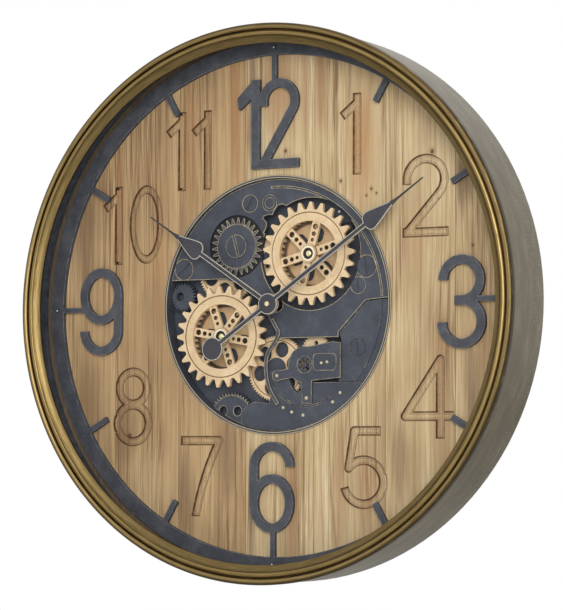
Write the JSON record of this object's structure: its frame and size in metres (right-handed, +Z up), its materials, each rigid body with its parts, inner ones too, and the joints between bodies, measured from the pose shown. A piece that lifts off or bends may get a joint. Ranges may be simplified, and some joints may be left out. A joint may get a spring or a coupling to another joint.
{
  "type": "gear wall clock",
  "caption": "Round open-faced wall clock: boarded wood dial in a metal case, cut chapter ring, two hands and a central plate of turning meshed gears.",
  "frame": {"origin": "on the hand axis, in the plane of the wall", "axes": "+X to the viewer's right, +Z up, +Y into the wall; the dial faces -Y"},
  "size_m": [0.6029, 0.083, 0.603],
  "materials": {
    "case": "brushed grey bronze",
    "bezel": "antique brushed",
    "back_board": "plain brown hardboard",
    "dial_wood": "oiled fir boards",
    "navy_metal": "matte slate navy, faintly hammered",
    "hand_navy": "matte slate navy with rubbed gold edges",
    "navy_plastic": "matte slate navy with rubbed gold edges",
    "gold_plastic": "pale champagne gold paint",
    "bright_steel": "bright",
    "brass": "satin",
    "black_plastic": "fine moulded",
    "motor_grey": "plain",
    "white_plastic": "natural",
    "red_plastic": "moulded",
    "cell_wrap": "plain wrapped cell",
    "lead_sleeve": "twin sleeve",
    "bumper_rubber": "soft"
  },
  "bodies": {
    "case": {"case_drum": "case", "bezel": "bezel", "back_panel": "back_board", "dial_backing": "dial_wood", "dial_board_1": "dial_wood", "dial_board_2": "dial_wood", "dial_board_3": "dial_wood", "dial_board_4": "dial_wood", "dial_board_5": "dial_wood", "dial_board_6": "dial_wood", "dial_board_7": "dial_wood", "chapter_ring": "navy_metal", "gear_dish": "navy_plastic", "main_plate": "navy_plastic", "lower_right_plate": "navy_plastic", "lower_plate": "navy_plastic", "rosette_bridge": "navy_plastic", "rosette": "navy_plastic", "curved_rail": "navy_plastic", "plate_screws": "navy_plastic", "side_gear": "navy_plastic", "relief_gears": "navy_plastic", "back_screws": "bright_steel", "hanger_plate": "bright_steel", "ring_pins": "bright_steel", "plate_pins": "bright_steel", "idler_studs": "navy_plastic", "motor_screws": "bright_steel", "cell_contacts": "bright_steel", "fixing_washer": "navy_metal", "arbor_bushes": "brass", "threaded_bush": "black_plastic", "fixing_nut": "navy_metal", "movement_case": "black_plastic", "movement_cover": "black_plastic", "battery_holder": "black_plastic", "gear_motor": "motor_grey", "holder_cells": "cell_wrap", "movement_cell": "cell_wrap", "motor_leads": "lead_sleeve", "wall_bumpers": "bumper_rubber"},
    "lower_train": {"lower_gear": "gold_plastic", "lower_wheel": "gold_plastic", "lower_arbor": "bright_steel"},
    "upper_train": {"upper_gear": "gold_plastic", "upper_wheel": "gold_plastic", "upper_arbor": "bright_steel"},
    "left_idler": {"left_idler": "gold_plastic"},
    "bottom_idler": {"bottom_idler": "gold_plastic"},
    "small_gear": {"small_gear": "gold_plastic"},
    "transfer_gear": {"transfer_gear": "gold_plastic"},
    "motor_pinion": {"motor_pinion": "black_plastic"},
    "minute": {"minute_hand": "hand_navy", "hand_cap": "brass", "minute_shaft": "brass"},
    "hour": {"hour_hand": "hand_navy", "hour_pipe": "brass"},
    "setting": {"motion_wheel": "white_plastic", "setting_knob": "red_plastic"},
    "switch_slider": {"switch_slider": "white_plastic"}
  },
  "joints": [
    {"name": "lower_gear_spin", "type": "hinge", "parent": "case", "child": "lower_train", "pos_m": [-0.0672, -0.026, -0.0333], "axis": [0, 1, 0], "continuous": true},
    {"name": "upper_gear_spin", "type": "hinge", "parent": "case", "child": "upper_train", "pos_m": [0.0415, -0.026, 0.0542], "axis": [0, 1, 0], "continuous": true},
    {"name": "left_idler_spin", "type": "hinge", "parent": "case", "child": "left_idler", "pos_m": [-0.06669, -0.026, 0.0397], "axis": [0, 1, 0], "continuous": true},
    {"name": "bottom_idler_spin", "type": "hinge", "parent": "case", "child": "bottom_idler", "pos_m": [-0.0036, -0.026, -0.06914], "axis": [0, 1, 0], "continuous": true},
    {"name": "small_gear_spin", "type": "hinge", "parent": "case", "child": "small_gear", "pos_m": [0.04504, -0.026, -0.05076], "axis": [0, 1, 0], "continuous": true},
    {"name": "transfer_gear_spin", "type": "hinge", "parent": "case", "child": "transfer_gear", "pos_m": [-0.015, -0.026, 0.05348], "axis": [0, 1, 0], "continuous": true},
    {"name": "motor_pinion_spin", "type": "hinge", "parent": "case", "child": "motor_pinion", "pos_m": [0.0822, -0.026, 0.0777], "axis": [0, 1, 0], "continuous": true},
    {"name": "minute_spin", "type": "hinge", "parent": "case", "child": "minute", "pos_m": [0, -0.026, 0], "axis": [0, 1, 0], "continuous": true},
    {"name": "hour_spin", "type": "hinge", "parent": "case", "child": "hour", "pos_m": [0, -0.026, 0], "axis": [0, 1, 0], "continuous": true},
    {"name": "setting_spin", "type": "hinge", "parent": "case", "child": "setting", "pos_m": [0.0128, -0.026, 0], "axis": [0, 1, 0], "continuous": true},
    {"name": "switch_slide", "type": "slide", "parent": "case", "child": "switch_slider", "axis": [0, 0, 1], "range_m": [0, 0.003]}
  ],
  "couplings": [
    {"joint": "upper_gear_spin", "follows": "lower_gear_spin", "ratio": -1},
    {"joint": "left_idler_spin", "follows": "lower_gear_spin", "ratio": -1.0857},
    {"joint": "bottom_idler_spin", "follows": "lower_gear_spin", "ratio": -1.0857},
    {"joint": "small_gear_spin", "follows": "lower_gear_spin", "ratio": 2.2353},
    {"joint": "transfer_gear_spin", "follows": "lower_gear_spin", "ratio": 2.0541},
    {"joint": "motor_pinion_spin", "follows": "lower_gear_spin", "ratio": 4.2222},
    {"joint": "hour_spin", "follows": "minute_spin", "ratio": 0.083333},
    {"joint": "setting_spin", "follows": "minute_spin", "ratio": -0.33333}
  ]
}
